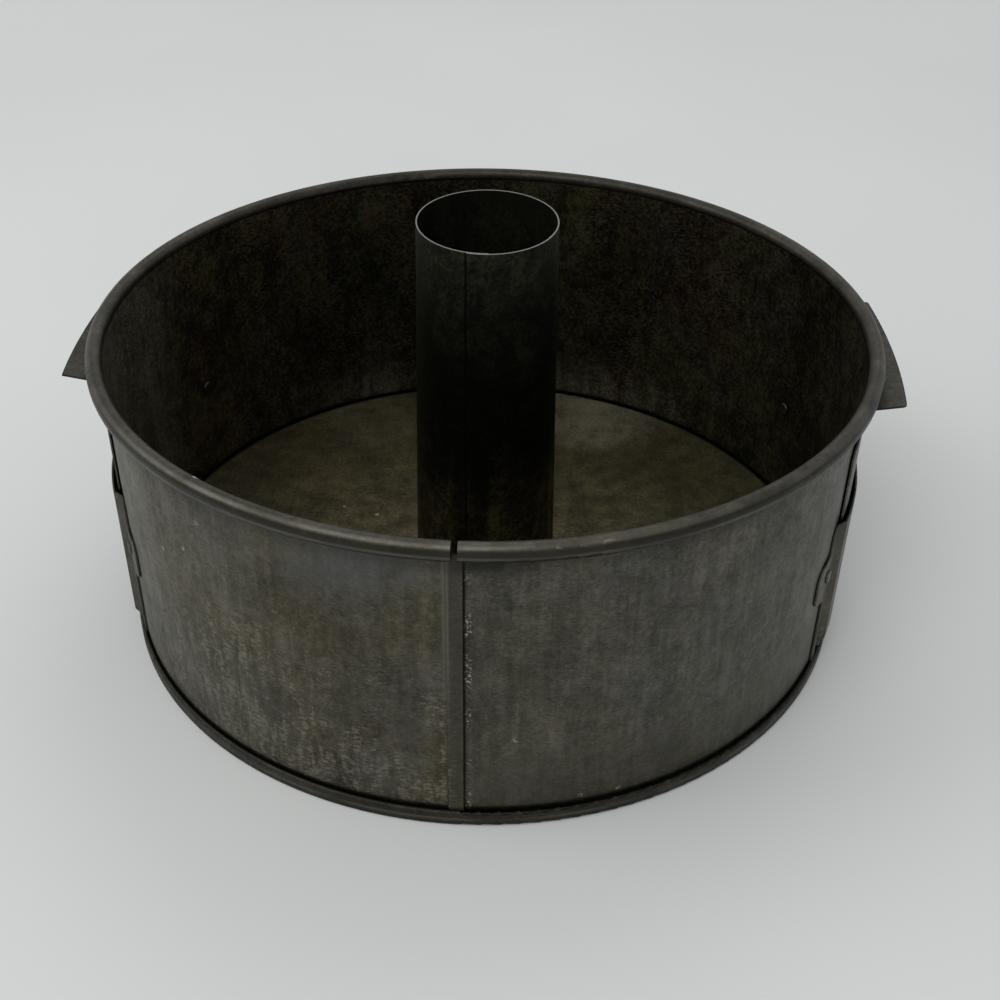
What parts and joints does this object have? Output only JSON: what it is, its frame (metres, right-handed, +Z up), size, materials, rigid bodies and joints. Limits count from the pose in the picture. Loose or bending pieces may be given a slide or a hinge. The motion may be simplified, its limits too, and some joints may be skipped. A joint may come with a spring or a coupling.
{
  "type": "angel food cake pan",
  "caption": "Round tinned-steel angel food cake pan with a wired rim, a tall centre tube, and side gates that slide up to uncover knife slots above the floor.",
  "frame": {"origin": "centre of the base where it stands on the table", "axes": "+Z up the centre tube, the two gates on the X axis, the wall's lock seam towards -Y"},
  "size_m": [0.2508, 0.24, 0.1299],
  "materials": {
    "wall_tin": "dull aged tinplate, dark inside",
    "wire_steel": "plain drawn wire",
    "base_tin": "baked brown patina",
    "tube_tin": "dark baked patina with a worn bright top edge",
    "gate_tin": "dull aged tinplate",
    "keeper_tin": "dull aged tinplate",
    "rivet_tin": "dull tinned rivet"
  },
  "bodies": {
    "pan": {"side_wall": "wall_tin", "rim_wire": "wire_steel", "bottom_panel": "base_tin", "centre_tube": "tube_tin", "right_keeper": "keeper_tin", "left_keeper": "keeper_tin", "right_front_rivet": "rivet_tin", "right_rear_rivet": "rivet_tin", "left_front_rivet": "rivet_tin", "left_rear_rivet": "rivet_tin"},
    "right_gate": {"right_gate": "gate_tin"},
    "left_gate": {"left_gate": "gate_tin"}
  },
  "joints": [
    {"name": "right_gate_slide", "type": "slide", "parent": "pan", "child": "right_gate", "axis": [0, 0, 1], "range_m": [0, 0.0043]},
    {"name": "left_gate_slide", "type": "slide", "parent": "pan", "child": "left_gate", "axis": [0, 0, 1], "range_m": [0, 0.0043]}
  ]
}
